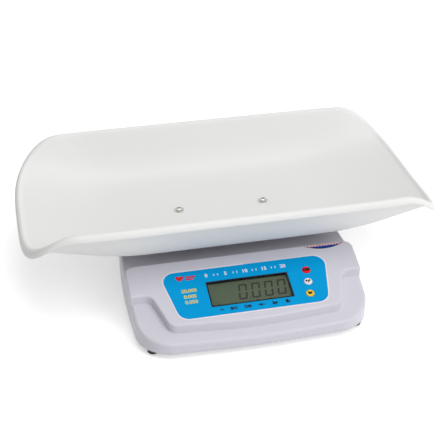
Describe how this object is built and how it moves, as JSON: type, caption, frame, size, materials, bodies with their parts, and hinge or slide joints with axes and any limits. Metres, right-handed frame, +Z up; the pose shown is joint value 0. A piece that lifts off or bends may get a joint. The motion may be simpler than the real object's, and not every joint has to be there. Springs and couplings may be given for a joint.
{
  "type": "baby weighing scale",
  "caption": "Digital infant scale: a long open trough tray on two pillars over a low housing with a sloped console, display and push keys.",
  "frame": {"origin": "bottom of the feet, under the centre of the whole object's box", "axes": "+X along the tray, -Y towards the console, +Z up"},
  "size_m": [0.55, 0.3637, 0.1416],
  "materials": {
    "tray_plastic": "satin",
    "housing_plastic": "satin",
    "cover_plastic": "matte",
    "blue_label": "satin",
    "clear_window": "polished",
    "dark_plastic": "matte",
    "display_glass": "satin",
    "backlight": "satin",
    "board_green": "satin",
    "red_plastic": "gloss",
    "white_plastic": "gloss",
    "yellow_plastic": "gloss",
    "steel": "satin",
    "bright_steel": "polished",
    "aluminium": "satin",
    "brass": "satin",
    "rubber": "matte",
    "cell_wrap": "gloss",
    "sticker": "satin",
    "lead_jacket": "matte"
  },
  "bodies": {
    "housing": {"top_housing": "housing_plastic", "bottom_cover": "cover_plastic", "case_screws": "steel", "front_label": "blue_label", "display_window": "clear_window", "display_frame": "dark_plastic", "display_glass": "display_glass", "display_backlight": "backlight", "main_board": "board_green", "board_parts": "dark_plastic", "key_switches": "dark_plastic", "board_screws": "steel", "corner_label": "sticker", "base_frame": "steel", "plate_screws": "steel", "overload_stops": "steel", "cell_lower_spacer": "aluminium", "cell_screws": "steel", "load_cell": "aluminium", "cell_cable": "lead_jacket", "battery_cells": "cell_wrap", "battery_contacts": "steel", "charging_inlet": "dark_plastic", "foot_inserts": "brass"},
    "platform": {"weighing_tray": "tray_plastic", "tray_screws": "bright_steel", "tray_washers": "bright_steel", "tray_gaskets": "rubber", "tray_carrier": "aluminium", "cell_upper_spacer": "aluminium", "carrier_screws": "steel"},
    "key_red": {"key_red": "red_plastic"},
    "key_white": {"key_white": "white_plastic"},
    "key_yellow": {"key_yellow": "yellow_plastic"},
    "battery_door": {"battery_door": "cover_plastic"},
    "foot_front_left": {"foot_pad_front_left": "rubber", "foot_stud_front_left": "dark_plastic"},
    "foot_front_right": {"foot_pad_front_right": "rubber", "foot_stud_front_right": "dark_plastic"},
    "foot_rear_left": {"foot_pad_rear_left": "rubber", "foot_stud_rear_left": "dark_plastic"},
    "foot_rear_right": {"foot_pad_rear_right": "rubber", "foot_stud_rear_right": "dark_plastic"}
  },
  "joints": [
    {"name": "platform_load", "type": "slide", "parent": "housing", "child": "platform", "axis": [0, 0, -1], "range_m": [0, 0.0008], "stiffness_N_per_m": 60000, "springref_m": -0.0002, "deforming": ["load_cell"]},
    {"name": "key_red_press", "type": "slide", "parent": "housing", "child": "key_red", "axis": [0, 0.2832, -0.9591], "range_m": [0, 0.0006], "stiffness_N_per_m": 1500, "springref_m": -0.0006},
    {"name": "key_white_press", "type": "slide", "parent": "housing", "child": "key_white", "axis": [0, 0.2832, -0.9591], "range_m": [0, 0.0006], "stiffness_N_per_m": 1500, "springref_m": -0.0006},
    {"name": "key_yellow_press", "type": "slide", "parent": "housing", "child": "key_yellow", "axis": [0, 0.2832, -0.9591], "range_m": [0, 0.0006], "stiffness_N_per_m": 1500, "springref_m": -0.0006},
    {"name": "battery_door_hinge", "type": "hinge", "parent": "housing", "child": "battery_door", "pos_m": [0, -0.0157, 0.0085], "axis": [1, 0, 0], "range_deg": [0, 85]},
    {"name": "foot_front_left_screw", "type": "slide", "parent": "housing", "child": "foot_front_left", "axis": [0, 0, -1], "range_m": [0, 0.005]},
    {"name": "foot_front_right_screw", "type": "slide", "parent": "housing", "child": "foot_front_right", "axis": [0, 0, -1], "range_m": [0, 0.005]},
    {"name": "foot_rear_left_screw", "type": "slide", "parent": "housing", "child": "foot_rear_left", "axis": [0, 0, -1], "range_m": [0, 0.005]},
    {"name": "foot_rear_right_screw", "type": "slide", "parent": "housing", "child": "foot_rear_right", "axis": [0, 0, -1], "range_m": [0, 0.005]}
  ]
}
